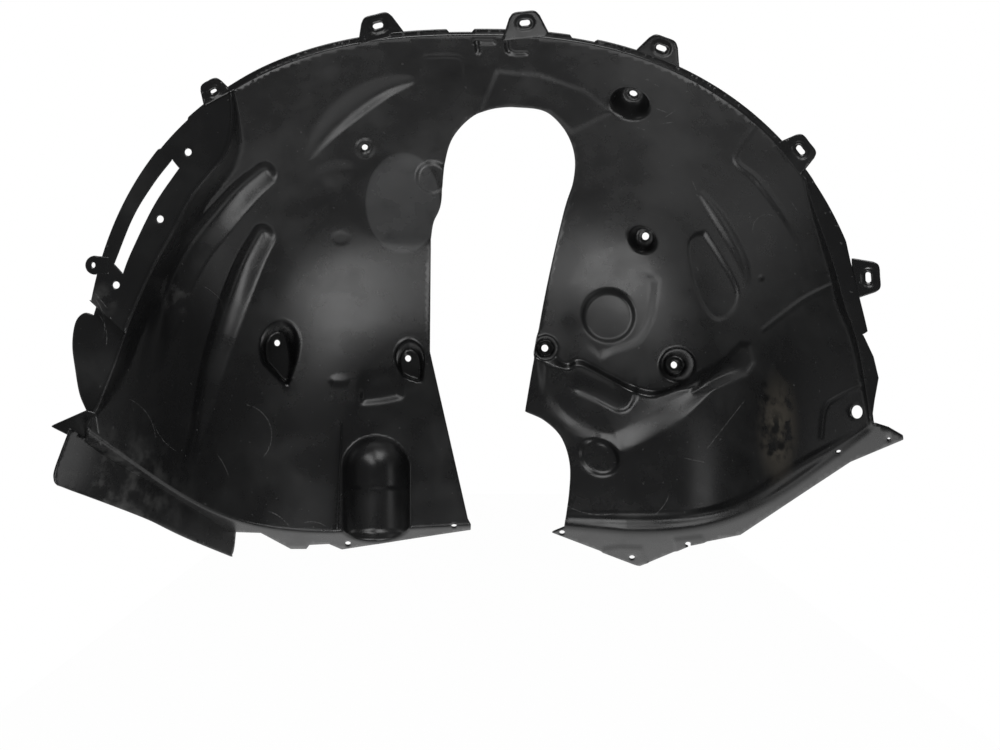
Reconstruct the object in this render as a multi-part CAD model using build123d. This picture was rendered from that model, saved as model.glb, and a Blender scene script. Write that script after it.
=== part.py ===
from build123d import *
import math
import os

os.makedirs("parts", exist_ok=True)

# Wheel arch liner, one moulded shell, seen from the wheel side along +Y.
# X runs along the car, Z is up. The origin lies midway between the two inner
# screw holes, on the plane of their seats. Depths are counted inward from the
# rim plane, in millimetres.

# Bowl
WALL = 3.0
RIM_HALF_WIDTH = 372.4
RIM_HEIGHT = 374.3
RIM_MIDDLE_X = 3.3
RIM_MIDDLE_Z = -72.7
LEFT_SHOULDER = 2.5
RIGHT_SHOULDER = 2.3
BOWL_DEPTH = 250.0
TAPER = 0.28
CORNER = 5.0
FLAT_SHARE = 0.984
WALL_FACE = FLAT_SHARE * BOWL_DEPTH
ROOF_SLOPE = 0.35
LEG_BOTTOM_Z = -330.0
RIM_STRIP = 6.0
EYE = 1500.0

# Screw seats
SEAT_BACK = 12.0
SEAT_DEPTH = BOWL_DEPTH + SEAT_BACK
INNER_SCREW_X = 76.4
INNER_SCREW_Z = 6.1
OUTER_SCREW_X = 218.0
OUTER_SCREW_Z = 12.6
OUTER_SEAT_FORE = 12.0
OUTER_SEAT_DEPTH = BOWL_DEPTH - OUTER_SEAT_FORE
OUTER_MOUTH_FORE = 23.0
SCREW_HOLE_R = 4.25
CUP_DEPTH = 15.0
CUP_FLOOR_R = 9.5
ROOF_CUP_R = 20.0
MIDDLE_CUP_R = 16.5
OUTER_CUP_R = 19.0
EDGE_CUP_R = 14.0
EDGE_CUP_FORE = 1.0
LEFT_HOOD_FORE = 48.0
INNER_HOOD_FORE = 10.0
BOSS_HOLE_R = 3.5
BOSS_R = 9.5

# Bottom lips, one each side of the opening, in planes that fall towards the back:
# height at the origin's column, rise along X and fall with depth
LEFT_LIP_Z = -53.8
LEFT_LIP_RISE = 0.0516
LEFT_LIP_FALL = 0.5516
RIGHT_LIP_Z = -35.4
RIGHT_LIP_RISE = -0.0908
RIGHT_LIP_FALL = 0.5949
SHELF_Z = -63.0
SHELF_RISE = -0.0204
SHELF_FALL = 0.53
LIP_SPLIT_X = 30.0
LIP_HOLE_R = 3.7
LIP_PAD = 1.6
LIP_PAD_SIZE = 32.0

# Flap below the front edge
FLAP_X = -388.0
FLAP_TURN = 0.5
FLAP_CORNER_R = 9.0

# Rim tabs
TAB_LEAN = 18.0
TAB_RING = 1.4
SLOT_LENGTH = 11.0
SLOT_WIDTH = 6.0
SMALL_TAB_R = 8.0

# Air slot flange and the ear under it
FLANGE_HOLE_R = 4.2
EAR_DEPTH = 8.0
DRAIN_HOLE_R = 7.0

# Relief of the wall
BEAD_R = 13.0
CRESCENT_R = 11.0
BULGE_X = -111.0
BULGE_R = 37.7
BULGE_AXIS_FORE = 8.7
BULGE_TOP_Z = -128.0
RIB_X = -153.3
RIB_STAND = 7.0
RIB_SINK = 5.0
DISC_R = 29.5
DISC_STAND = 6.5
PLATEAU_STAND = 8.0
BOSS_STAND = 1.6

STANDING = (Align.CENTER, Align.CENTER, Align.MIN)


def at(x, depth, z):
    return Vector(x, depth - SEAT_DEPTH, z)


def seen(x, z, depth):
    k = 1 + depth / EYE
    return at(x * k, depth, z * k)


def section(share, grow):
    depth = share * (BOWL_DEPTH + grow)
    shrink = (1 - TAPER * share) * (1 - share ** CORNER) ** (1 / CORNER)
    half = (RIM_HALF_WIDTH + 1.07 * grow) * shrink
    high = (RIM_HEIGHT + 1.27 * grow) * shrink
    base = RIM_MIDDLE_Z - ROOF_SLOPE * depth
    points = []
    for step in range(-6, 7):
        turn = math.radians(15 * step)
        power = 2 / (LEFT_SHOULDER if step < 0 else RIGHT_SHOULDER)
        x = math.copysign(half * abs(math.sin(turn)) ** power, step)
        z = high * abs(math.cos(turn)) ** power if abs(step) < 6 else 0
        points.append(at(RIM_MIDDLE_X + x, depth, base + z))
    left = at(RIM_MIDDLE_X - half, depth, LEG_BOTTOM_Z)
    right = at(RIM_MIDDLE_X + half, depth, LEG_BOTTOM_Z)
    edges = [
        Spline(*points, tangents=(Vector(0, 0, 1), Vector(0, 0, -1))),
        Line(points[-1], right),
        Line(right, left),
        Line(left, points[0]),
    ]
    return make_face(edges)


def bowl(grow):
    # The drawn barrel first, then the rounded corner that ends in the flat wall.
    barrel = loft([section(share, grow) for share in (0, 0.28, 0.56)])
    corner = loft([section(share, grow) for share in (0.56, 0.7, 0.82, 0.9, 0.95, FLAT_SHARE)])
    return barrel + corner


def tapered(outline, near, far):
    faces = []
    for depth in (near, far):
        edges = []
        for kind, points in outline:
            placed = [seen(x, z, depth) for x, z in points]
            edges.append(Spline(*placed) if kind == "curve" else Polyline(*placed))
        faces.append(make_face(edges))
    return loft(faces, ruled=True)


def straight(outline, near, far):
    edges = []
    for kind, points in outline:
        placed = [at(x, near, z) for x, z in points]
        edges.append(Spline(*placed) if kind == "curve" else Polyline(*placed))
    return extrude(make_face(edges), amount=far - near, dir=(0, 1, 0))


def drilled(x, z, radius_x, radius_z, near, far):
    faces = []
    for depth in (near, far):
        k = 1 + depth / EYE
        plane = Plane(at(x * k, depth, z * k), x_dir=(1, 0, 0), z_dir=(0, 1, 0))
        faces.append(plane * Ellipse(radius_x * k, radius_z * k))
    return loft(faces, ruled=True)


def cup(mouth, axis, mouth_r, floor_r, depth, grow):
    # A cone that runs a little past its mouth into the open side.
    ahead = 4.0
    deep = depth + grow
    slope = (mouth_r - floor_r) / depth
    plane = Plane(mouth - axis * ahead, z_dir=axis)
    wide = mouth_r + grow + slope * ahead
    return plane * Cone(wide, floor_r + grow, ahead + deep, align=STANDING)


def arch_face(x, z, radius, foot, depth):
    left = at(x - radius, depth, z)
    top = at(x, depth, z + radius)
    right = at(x + radius, depth, z)
    edges = [
        ThreePointArc(left, top, right),
        Polyline(right, at(x + radius, depth, foot), at(x - radius, depth, foot), left),
    ]
    return make_face(edges)


def hood(mouth, floor, near, far, grow):
    x, z, radius, foot = mouth
    u, w, small, sole = floor
    front = arch_face(x, z, radius + grow, foot - grow, near)
    back = arch_face(u, w, small + grow, sole - grow, far + grow)
    return loft([front, back], ruled=True)


def groove(arc, grow):
    # A round tube along an arc that dips through the bowl: it cuts a groove that
    # fades out where the arc leaves the sheet, and ends round where it stays in it.
    points, radius, round_start = arc
    path = ThreePointArc(*points)
    tube = sweep(Plane(path @ 0, z_dir=path % 0) * Circle(radius + grow), path=path)
    if round_start:
        tube = tube + Pos(*points[0]) * Sphere(radius + grow)
    return tube


def on_bowl(x, z):
    # Where the sight line through (x, z) of the rim plane meets the bowl, and
    # the direction that leads out of the bowl there.
    def inside(depth, u, w):
        k = 1 + depth / EYE
        share = max(depth, 0) / BOWL_DEPTH
        shrink = (1 - TAPER * share) * (1 - share ** CORNER) ** (1 / CORNER)
        power = LEFT_SHOULDER if u < RIM_MIDDLE_X else RIGHT_SHOULDER
        across = abs(u * k - RIM_MIDDLE_X) / RIM_HALF_WIDTH
        above = max(w * k - RIM_MIDDLE_Z + ROOF_SLOPE * depth, 0) / RIM_HEIGHT
        return across ** power + above ** power < shrink ** power

    def hit(u, w):
        near, far = -20.0, BOWL_DEPTH
        for _ in range(40):
            middle = (near + far) / 2
            if inside(middle, u, w):
                near = middle
            else:
                far = middle
        return seen(u, w, near)

    middle = hit(x, z)
    out = (hit(x, z + 2) - middle).cross(hit(x + 2, z) - middle).normalized()
    return middle, out if out.Y > 0 else -out


def bead(spots, radius, round_start):
    # Spots are (x, z, sink): how far the tube reaches through the bowl there.
    points = []
    for x, z, sink in spots:
        middle, out = on_bowl(x, z)
        points.append(middle - out * (radius - sink))
    return points, radius, round_start


def beyond_rim(place, gap, turn):
    # A point of the mouth's edge, placed by its angle from the top, and moved out
    # by the gap in the direction that turn gives.
    power = 2 / (LEFT_SHOULDER if place < 0 else RIGHT_SHOULDER)
    angle = math.radians(place)
    x = RIM_MIDDLE_X + math.copysign(RIM_HALF_WIDTH * abs(math.sin(angle)) ** power, place)
    z = RIM_MIDDLE_Z + RIM_HEIGHT * math.cos(angle) ** power
    out = Vector(math.cos(math.radians(turn)), 0, math.sin(math.radians(turn)))
    return x + out.X * gap, z + out.Z * gap, out


def tab(place, gap, turn, base, tip, length, slot):
    x, z, out = beyond_rim(place, gap, turn)
    along = Vector(out.Z, 0, -out.X)
    lean = math.radians(TAB_LEAN)
    up = out * math.cos(lean) + Vector(0, -math.sin(lean), 0)
    plane = Plane(at(x, -1.3, z), x_dir=along, z_dir=along.cross(up))
    root = 4.5
    outline = Polyline(
        (-base / 2, -root), (base / 2, -root), (tip / 2, length), (-tip / 2, length), close=True
    )
    face = make_face(outline)
    face = fillet(face.vertices().sort_by(Axis.Y)[-2:], radius=4)
    middle = Pos(0, length - 10)
    solid = extrude(face, amount=-WALL)
    solid += extrude(middle * SlotOverall(slot + 7, SLOT_WIDTH + 7), amount=TAB_RING)
    solid -= extrude(middle * SlotOverall(slot, SLOT_WIDTH), amount=20, both=True)
    return plane * solid


# The two bowls whose difference is the shell.
across = Vector(0, 1, 0)
roof_mouth, roof_axis = on_bowl(145.8, 237.0)
middle_mouth, _ = on_bowl(157.2, 107.8)
middle_axis = Vector(0.34, 0.88, 0.33).normalized()
outer_mouth_depth = WALL_FACE - OUTER_MOUTH_FORE
outer_mouth = at(OUTER_SCREW_X, outer_mouth_depth, -OUTER_SCREW_Z)
edge_mouth = at(INNER_SCREW_X, WALL_FACE - EDGE_CUP_FORE, INNER_SCREW_Z)
boss_middle, boss_axis = on_bowl(-105.9, 195.2)

upper_bead = bead(((-200.9, 171.5, 7), (-263.6, 103.1, 7), (-314, -29, -0.6)), BEAD_R, True)
lower_bead = bead(((-202.5, 112.8, 7), (-236, 32, 7), (-272, -98, -0.6)), BEAD_R, True)
crescent = bead(((-158.2, 183.8, -0.6), (-105.9, 228.5, 5), (-58.4, 257.9, -0.6)), CRESCENT_R, False)
hook = bead(((212.3, 152.5, -0.6), (245.6, 105, 5), (259.8, 55.6, -0.6)), CRESCENT_R, False)

left_hood_mouth = (-207.6, 14.4, 27.0, -29.7)
left_hood_floor = (-OUTER_SCREW_X, OUTER_SCREW_Z, 12.5, -28.0)
inner_hood_mouth = (-INNER_SCREW_X + 0.4, 12.5, 20.2, -27.0)
inner_hood_floor = (-INNER_SCREW_X, -INNER_SCREW_Z - 1, 10.6, -27.5)


def recesses(grow):
    shapes = [
        cup(roof_mouth, roof_axis, ROOF_CUP_R, CUP_FLOOR_R, CUP_DEPTH, grow),
        cup(middle_mouth, middle_axis, MIDDLE_CUP_R, CUP_FLOOR_R, CUP_DEPTH, grow),
        cup(outer_mouth, across, OUTER_CUP_R, CUP_FLOOR_R, OUTER_SEAT_DEPTH - outer_mouth_depth, grow),
        cup(edge_mouth, across, EDGE_CUP_R, CUP_FLOOR_R, SEAT_DEPTH - WALL_FACE + EDGE_CUP_FORE, grow),
        hood(left_hood_mouth, left_hood_floor, WALL_FACE - LEFT_HOOD_FORE, OUTER_SEAT_DEPTH, grow),
        hood(inner_hood_mouth, inner_hood_floor, WALL_FACE - INNER_HOOD_FORE, SEAT_DEPTH, grow),
    ]
    for arc in (upper_bead, lower_bead, crescent, hook):
        shapes.append(groove(arc, grow))
    tall = BULGE_TOP_Z - LEG_BOTTOM_Z
    axis_depth = WALL_FACE - BULGE_AXIS_FORE
    foot = at(BULGE_X, axis_depth, LEG_BOTTOM_Z)
    shapes.append(Pos(*foot) * Cylinder(BULGE_R + grow, tall, align=STANDING))
    shapes.append(Pos(*at(BULGE_X, axis_depth, BULGE_TOP_Z)) * Sphere(BULGE_R + grow))
    return shapes


# Raised places: a round pad and a plateau, both lifted towards the wheel.
disc_middle, disc_axis = on_bowl(124.9, 38.5)
plateau_corners = (
    (90.7, -13.8),
    (126.8, -25.2),
    (151.5, -36.6),
    (176.2, -36.6),
    (202.8, -29),
    (240.8, -13.8),
    (248.4, -23.3),
    (202.8, -46.1),
    (155.3, -72.7),
    (128.7, -80.3),
    (114.5, -75.5),
    (86, -54.6),
    (60.3, -32.8),
    (65.1, -21.4),
)


def raised(grow):
    # Front of each raised place for grow 0, its hollow back for grow WALL.
    lift = DISC_STAND - grow
    plane = Plane(disc_middle - disc_axis * lift, z_dir=disc_axis)
    pad = plane * Cylinder(DISC_R - grow, 60, align=STANDING)
    corners = [seen(x, z, WALL_FACE - PLATEAU_STAND + grow) for x, z in plateau_corners]
    face = make_face(Polyline(*corners, close=True))
    if grow:
        face = offset(face, amount=-grow, kind=Kind.INTERSECTION)
    return [pad, extrude(face, amount=60, dir=(0, 1, 0))]


# Flat flange beside the mouth: the bowl is cut back along these two curves.
left_edge = [
    (
        "curve",
        (
            (-367, -120), (-350.1, -29.9), (-339.6, 4.3), (-326.3, 43.2), (-306.4, 83.1),
            (-287.4, 117.3), (-271.2, 147.7), (-253.2, 170.5), (-240.8, 185.7), (-233.2, 204.7),
            (-231.3, 231.3), (-235.1, 269.3),
        ),
    ),
    ("line", ((-235.1, 269.3), (-470, 269.3), (-470, -120), (-367, -120))),
]
right_edge = [
    (
        "curve",
        (
            (303.5, 193.3), (318.7, 145.8), (339.6, 86), (350.1, 48), (357.7, 27.1), (364.3, 3.3),
            (370, -29), (374.8, -63.2), (378.6, -110.7),
        ),
    ),
    ("line", ((378.6, -110.7), (470, -110.7), (470, 193.3), (303.5, 193.3))),
]
left_block = straight(left_edge, -80, 280)
right_block = straight(right_edge, -80, 280)

core = bowl(0)
skin = bowl(WALL)

inside = core + extrude(section(0, 0), amount=60, dir=(0, -1, 0))
inside = inside - left_block - right_block
for shape in raised(0):
    inside = inside - shape
for shape in recesses(0):
    inside = inside + shape

outside = skin - Pos(-WALL, 0, 1) * left_block - Pos(WALL, 0, 1) * right_block
for shape in raised(WALL):
    outside = outside - shape
for shape in recesses(WALL):
    outside = outside + shape

# Rim strip with the air slot flange, and the ear below it.
rim = extrude(section(0, RIM_STRIP), amount=WALL, dir=(0, 1, 0))
below_flange = [
    ("line", ((-400, 54.6), (-365.3, 46.1), (-333, 11.9), (-333, -160), (-400, -160), (-400, 54.6)))
]
ear_outline = [
    ("line", ((-366, -70), (-330, -70), (-330, 20), (-364.3, 33.7))),
    (
        "curve",
        (
            (-364.3, 33.7), (-376, 36), (-382.8, 22), (-383.3, -6), (-378.6, -30), (-371.9, -52),
            (-366, -70),
        ),
    ),
]
ear = straight(ear_outline, EAR_DEPTH, EAR_DEPTH + WALL)
body = outside + rim - straight(below_flange, -5, EAR_DEPTH) + ear

# Bottom lips and the shelf at the front left corner.
def lip_normal(slope):
    _, rise, fall = slope
    return Vector(-rise, fall, 1).normalized()


def on_lip(slope, x, share):
    # A place on a lip, its depth as a share of the bowl's.
    height, rise, fall = slope
    depth = share * BOWL_DEPTH
    return at(x, depth, height + rise * x - fall * depth)


def lip(slope, points, thick):
    face = make_face(Polyline(*[on_lip(slope, x, share) for x, share in points], close=True))
    return extrude(face, amount=thick, dir=lip_normal(slope))


def below_lip(slope, side):
    plane = Plane(on_lip(slope, LIP_SPLIT_X, 0), x_dir=(1, 0, slope[1]), z_dir=lip_normal(slope))
    align = Align.MAX if side < 0 else Align.MIN
    return plane * Box(1200, 2000, 500, align=(align, Align.CENTER, Align.MAX))


left_slope = (LEFT_LIP_Z, LEFT_LIP_RISE, LEFT_LIP_FALL)
right_slope = (RIGHT_LIP_Z, RIGHT_LIP_RISE, RIGHT_LIP_FALL)
shelf_slope = (SHELF_Z, SHELF_RISE, SHELF_FALL)
body = body - below_lip(left_slope, -1) - below_lip(right_slope, 1)
left_lip_points = (
    (-330, 0.012),
    (-366, 0.004),
    (-387, 0.02),
    (-273.7, 0.928),
    (-237.2, 0.9536),
    (-209.5, 1.132),
    (-192.8, 1.14),
    (-188.3, 1.1),
    (-165.8, 1.1016),
    (-152.6, 1.1652),
    (-37.4, 1.06),
    (-7, 1.008),
    (-7, 0.8),
    (-200, 0.76),
)
right_lip_points = (
    (340, 0.012),
    (374, 0.002),
    (407.6, 0.052),
    (409, 0.072),
    (370, 0.26),
    (335, 0.544),
    (289, 0.924),
    (238.4, 1.056),
    (189, 1.298),
    (85.5, 1.06),
    (85, 0.8),
    (250, 0.6),
)
shelf_points = ((-330, 0.012), (-374, 0.002), (-412, 0.132), (-402, 0.184), (-372, 0.184), (-330, 0.16))
body = body + lip(left_slope, left_lip_points, WALL) + lip(right_slope, right_lip_points, WALL)
body = body + lip(shelf_slope, shelf_points, WALL)
body = body - inside

# Pads under the two rear screw holes of the right lip.
pad_holes = ((177.7, 1.216), (236, 1.016))
pad_sheet = lip(right_slope, right_lip_points, -LIP_PAD)
for x, share in pad_holes:
    place = Plane(on_lip(right_slope, x, share), x_dir=(1, -0.8, 0), z_dir=lip_normal(right_slope))
    body = body + (pad_sheet & place * Box(LIP_PAD_SIZE, LIP_PAD_SIZE, 20))

# Flap that hangs from the outer edge of the left lip.
flap_outline = FilletPolyline(
    *[at(FLAP_X + FLAP_TURN * d, d, z) for d, z in ((0, -52), (-6, -124), (238, -220), (242, -188))],
    radius=FLAP_CORNER_R,
    close=True,
)
flap = extrude(make_face(flap_outline), amount=WALL, dir=Vector(-1, FLAP_TURN, 0).normalized())
body = body + flap

# Thin rib beside the bulge.
rib_root = WALL_FACE + RIB_SINK
rib_front = WALL_FACE + WALL - RIB_STAND
rib_face = make_face(
    Polyline(
        at(RIB_X, rib_root, -73),
        at(RIB_X, rib_front, -185),
        at(RIB_X, rib_front, -192),
        at(RIB_X, rib_root, -194),
        close=True,
    )
)
body = body + extrude(rib_face, amount=1.25, dir=(1, 0, 0), both=True)

# Rim tabs: slot middles near the tips.
for spot in (
    (-10.19, 3.44, 104, 43.7, 24.7, 21, SLOT_LENGTH),
    (4.89, 0.79, 96, 43.7, 24, 21.5, SLOT_LENGTH),
    (23.35, 4.8, 70, 44, 23, 20, SLOT_LENGTH),
    (49.44, 1.58, 38, 36, 24, 22, SLOT_LENGTH),
    (70.55, 2.45, 4, 37, 25, 22, SLOT_LENGTH),
    (-36.96, 4.07, 118, 28, 18, 16, 8.0),
):
    body = body + tab(*spot)
small_x, small_z, _ = beyond_rim(-70.32, 11.41, 180)
small_plane = Plane(at(small_x, 0, small_z), x_dir=(1, 0, 0), z_dir=(0, 1, 0))
small_face = Circle(SMALL_TAB_R) + Pos(8, 0) * Rectangle(16, 14)
small_tab = extrude(small_plane * small_face, amount=WALL)
small_tab = small_tab - drilled(small_x - 1.3, small_z, 2.8, 3.6, -5, 10)
body = body + small_tab

# Low round boss of the roof hole.
boss_plane = Plane(boss_middle - boss_axis * BOSS_STAND, z_dir=boss_axis)
body = body + boss_plane * Cylinder(BOSS_R, BOSS_STAND + WALL / 2, align=STANDING)

# Suspension opening.
opening = [
    (
        "line",
        ((84.1, -165.8), (75.5, -260), (-6.2, -260), (-9.0, -157.2), (-45.1, 1.4), (-44.2, 108)),
    ),
    (
        "curve",
        (
            (-44.2, 108), (-41.5, 124), (-34.7, 141), (-31.8, 174.3), (-24.2, 202.8), (-6.2, 223.7),
            (14.7, 232.8), (39.4, 234.2), (65.1, 230.4), (84.1, 212.3), (93.6, 188.6), (92.6, 162.9),
            (83.1, 131.6), (65.1, 50.8), (47.0, -54.6),
        ),
    ),
    (
        "curve",
        ((47.0, -54.6), (65.1, -62.2), (81.2, -79.3), (89.8, -105.9), (88.8, -134.4), (84.1, -165.8)),
    ),
]
body = body - tapered(opening, 20, 400)

# Air slot and the small holes.
air_slot = [
    ("curve", ((-289.3, 185.7), (-308.3, 161), (-327.3, 129.7), (-345.3, 85))),
    ("line", ((-345.3, 85), (-335.8, 74.6))),
    ("curve", ((-335.8, 74.6), (-325.4, 99.3), (-304.4, 142), (-281.7, 176.2))),
    ("line", ((-281.7, 176.2), (-289.3, 185.7))),
]
body = body - straight(air_slot, -10, 20)
for x, z in ((-274.1, 191.4), (-300.7, 127.8), (-342.5, 65.1)):
    body = body - drilled(x, z, FLANGE_HOLE_R, FLANGE_HOLE_R, -10, 20)
body = body - drilled(360.5, -55.6, DRAIN_HOLE_R - 0.6, DRAIN_HOLE_R, -10, 90)
for side in (-1, 1):
    drill = Rot(X=90) * Cylinder(SCREW_HOLE_R, 24)
    inner_seat = at(side * INNER_SCREW_X, SEAT_DEPTH, side * INNER_SCREW_Z)
    outer_seat = at(side * OUTER_SCREW_X, OUTER_SEAT_DEPTH, -side * OUTER_SCREW_Z)
    body = body - Pos(*inner_seat) * drill - Pos(*outer_seat) * drill
for mouth, axis, radius, deep in (
    (roof_mouth, roof_axis, SCREW_HOLE_R, CUP_DEPTH),
    (middle_mouth, middle_axis, SCREW_HOLE_R, CUP_DEPTH),
    (boss_middle, boss_axis, BOSS_HOLE_R, 0),
):
    body = body - Plane(mouth + axis * deep, z_dir=axis) * Cylinder(radius, 20)
for slope, holes in (
    (left_slope, ((-144.7, 1.112), (-25, 1.03))),
    (right_slope, ((97, 1.03), (397, 0.08)) + pad_holes),
):
    for x, share in holes:
        place = Plane(on_lip(slope, x, share), z_dir=lip_normal(slope))
        body = body - place * Cylinder(LIP_HOLE_R, 20)

liner = body.solids()[0] if len(body.solids()) == 1 else body
print("solids", len(body.solids()), "volume", round(liner.volume), "valid", liner.is_valid)
export_step(liner, "parts/arch_liner.step")
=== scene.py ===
# %% [markdown]
# # A moulded wheel arch liner
# The real object is one thin sheet of black plastic, moulded into a half bowl that
# sits round a car's front wheel. It could be carved out of a solid or bent from
# strips, but a moulded sheet has one face that the mould gave it and a back that
# runs at the same distance everywhere. So here one face is worked out point by
# point, and the back is that face moved along its own normals.

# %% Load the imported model
import math

import bpy
import numpy as np
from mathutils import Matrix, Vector
from mathutils.geometry import delaunay_2d_cdt


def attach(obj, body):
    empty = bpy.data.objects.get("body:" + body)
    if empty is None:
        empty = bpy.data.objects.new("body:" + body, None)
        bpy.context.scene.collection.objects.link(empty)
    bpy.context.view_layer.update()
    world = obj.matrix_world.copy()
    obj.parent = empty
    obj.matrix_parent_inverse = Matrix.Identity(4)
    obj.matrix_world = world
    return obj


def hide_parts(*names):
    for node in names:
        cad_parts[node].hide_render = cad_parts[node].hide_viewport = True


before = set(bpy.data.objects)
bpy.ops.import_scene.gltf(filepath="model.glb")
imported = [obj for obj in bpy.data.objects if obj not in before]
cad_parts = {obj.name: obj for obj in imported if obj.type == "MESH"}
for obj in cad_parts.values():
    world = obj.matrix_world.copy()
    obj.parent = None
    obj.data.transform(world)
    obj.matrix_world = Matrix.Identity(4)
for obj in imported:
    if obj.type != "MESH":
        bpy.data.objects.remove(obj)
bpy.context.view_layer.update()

# %% [markdown]
# ## Places on the sheet
# Every place is given by the sight line that goes through it: two numbers on the
# plane of the rim, and a depth behind that plane. The bowl opens towards the eye,
# so each sight line meets the inner face only once. That makes the whole face a
# single height field, which is far easier to shape than a loft.

# %% Sight lines
MM_PER_PIXEL = 0.95
CENTRE_SPOT = np.array([476.5, 353.5])
EYE = 1500.0
RIM_Y = -262.0


def spots(*pairs):
    return np.array(pairs, float).reshape(-1, 2)


def sight(places):
    across = (places[:, 0] - CENTRE_SPOT[0]) * MM_PER_PIXEL
    up = (CENTRE_SPOT[1] - places[:, 1]) * MM_PER_PIXEL
    return across, up


def lift(places, depth):
    across, up = sight(places)
    spread = 1 + depth / EYE
    return np.stack([across * spread, depth + RIM_Y, up * spread], 1)


def spot_of(points):
    spread = 1 + (points[:, 1] - RIM_Y) / EYE
    across = points[:, 0] / spread / MM_PER_PIXEL + CENTRE_SPOT[0]
    return np.stack([across, CENTRE_SPOT[1] - points[:, 2] / spread / MM_PER_PIXEL], 1)


print("rim plane at", RIM_Y, "mm, eye", EYE, "mm in front of it")

# %% [markdown]
# ## The camera
# It looks level along the car's cross direction, from far enough away that the
# holes at the bottom of the cups show where they do in the picture.

# %% Camera
PICTURE_WIDE, PICTURE_TALL = 1000, 750
SENSOR_WIDE = 36

camera_data = bpy.data.cameras.new("camera")
camera = bpy.data.objects.new("camera", camera_data)
bpy.context.scene.collection.objects.link(camera)
camera.location = (0, (RIM_Y - EYE) / 1000, 0)
camera.rotation_euler = (math.radians(90), 0, 0)
camera_data.sensor_width = SENSOR_WIDE
camera_data.lens = SENSOR_WIDE * EYE / MM_PER_PIXEL / PICTURE_WIDE
camera_data.shift_x = (PICTURE_WIDE / 2 - CENTRE_SPOT[0]) / PICTURE_WIDE
camera_data.shift_y = -(PICTURE_TALL / 2 - CENTRE_SPOT[1]) / PICTURE_WIDE
bpy.context.scene.camera = camera
bpy.context.scene.view_settings.view_transform = "Standard"
print("lens", round(camera_data.lens, 2))

# %% [markdown]
# ## The bowl
# Its mouth is a superellipse, fuller than a circle, and it narrows with depth and
# turns into the flat inner wall through a rounded corner. There is no formula for
# where a sight line meets such a surface, so the depth is found by halving an
# interval, for all the points at once.

# %% Depth of the bowl
HALF_WIDTH, HEIGHT = 372.4, 374.3
MIDDLE_X, MIDDLE_Z = 3.3, -72.7
BOWL_DEPTH, WALL_DEPTH = 250.0, 246.0
LEFT_POWER, RIGHT_POWER, CORNER_POWER = 2.5, 2.3, 5
ROOF_SLOPE, NARROWING = 0.35, 0.28


def passes_bowl(across, up, depth):
    spread = 1 + depth / EYE
    side = across * spread - MIDDLE_X
    above = np.maximum(up * spread - MIDDLE_Z + ROOF_SLOPE * depth, 0)
    power = np.where(side < 0, LEFT_POWER, RIGHT_POWER)
    share = np.clip(depth / BOWL_DEPTH, 0, 1)
    reach = (1 - NARROWING * share) * (1 - share ** CORNER_POWER) ** (1 / CORNER_POWER)
    return (np.abs(side) / HALF_WIDTH) ** power + (above / HEIGHT) ** power > reach ** power


def first_pass(passes, across, up, near, far):
    near = np.full(len(across), float(near))
    far = np.full(len(across), float(far))
    for _ in range(36):
        middle = (near + far) / 2
        out = passes(across, up, middle)
        far = np.where(out, middle, far)
        near = np.where(out, near, middle)
    return near


def bowl_depth(across, up):
    return first_pass(passes_bowl, across, up, -20, WALL_DEPTH)


print("depth at the wall", bowl_depth(np.array([100.0]), np.array([0.0])))

# %% [markdown]
# ## Step walls beside the flanges
# On the left the mouth is cut back to a flat flange with the air slot, and on the
# right to a narrow one. A steep wall leads from each flange's inner edge into the
# bowl. Each edge is a smooth line through a few points.

# %% Smooth lines and the two flange edges
def smooth_line(points, step):
    points = np.asarray(points, float)
    ends = np.concatenate([2 * points[:1] - points[1:2], points, 2 * points[-1:] - points[-2:-1]])
    line = []
    for n in range(len(points) - 1):
        a, b, c, d = ends[n:n + 4]
        count = max(2, int(np.ceil(np.linalg.norm(c - b) / step)))
        t = (np.arange(count) / count)[:, None]
        line.append(
            b + 0.5 * t * (c - a + t * (2 * a - 5 * b + 4 * c - d + t * (3 * (b - c) + d - a)))
        )
    line.append(points[-1:])
    return np.concatenate(line)


LEFT_EDGE = smooth_line(
    spots(
        (87, 430), (91, 416), (98, 403), (113, 366), (125, 332), (138, 300), (154, 266), (174, 230),
        (191, 198), (210, 174), (222, 159), (230.5, 139), (233, 112), (231, 84),
    ),
    2.0,
)
RIGHT_EDGE = smooth_line(
    spots(
        (790, 130), (796, 150), (812, 200), (834, 263), (845, 303), (853, 325), (860, 350),
        (866, 384), (871, 420), (875, 470),
    ),
    2.0,
)


def wall_depth(across, up, edge, side):
    edge_x, edge_z = sight(edge)
    order = np.argsort(edge_z)
    edge_x, edge_z = edge_x[order], edge_z[order]

    def passes(across, up, depth):
        spread = 1 + depth / EYE
        return side * (across * spread - np.interp(up * spread, edge_z, edge_x)) > 0

    return first_pass(passes, across, up, -6, 400)


print("edge points", len(LEFT_EDGE), len(RIGHT_EDGE))

# %% [markdown]
# ## Lips, bulge and the whole inner face
# Below the bowl two lip plates fall away to the back, each in its own plane, and
# left of the opening the wall swells backward into a half round column. Soft
# maximum and minimum functions join these shapes, and their width is the moulding's
# corner radius.

# %% Depth of the inner face
LEFT_LIP = (-53.8, 0.0516, 0.5516)
RIGHT_LIP = (-35.4, -0.0908, 0.5949)
COLUMN_X, COLUMN_DEPTH, COLUMN_R, COLUMN_TOP = -111.0, 237.3, 37.7, -128.0
FACET_SOFT, COLUMN_SOFT, LEFT_SOFT, RIGHT_SOFT = 1.5, 7, 14, 10
LEFT_LIP_SOFT, RIGHT_LIP_SOFT = 4.0, 11.0
BETWEEN_LIPS_X = 30
FACET_SPOTS = spots((441, 140), (403, 163), (369, 203), (366, 226), (383, 252), (430, 224))


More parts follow.
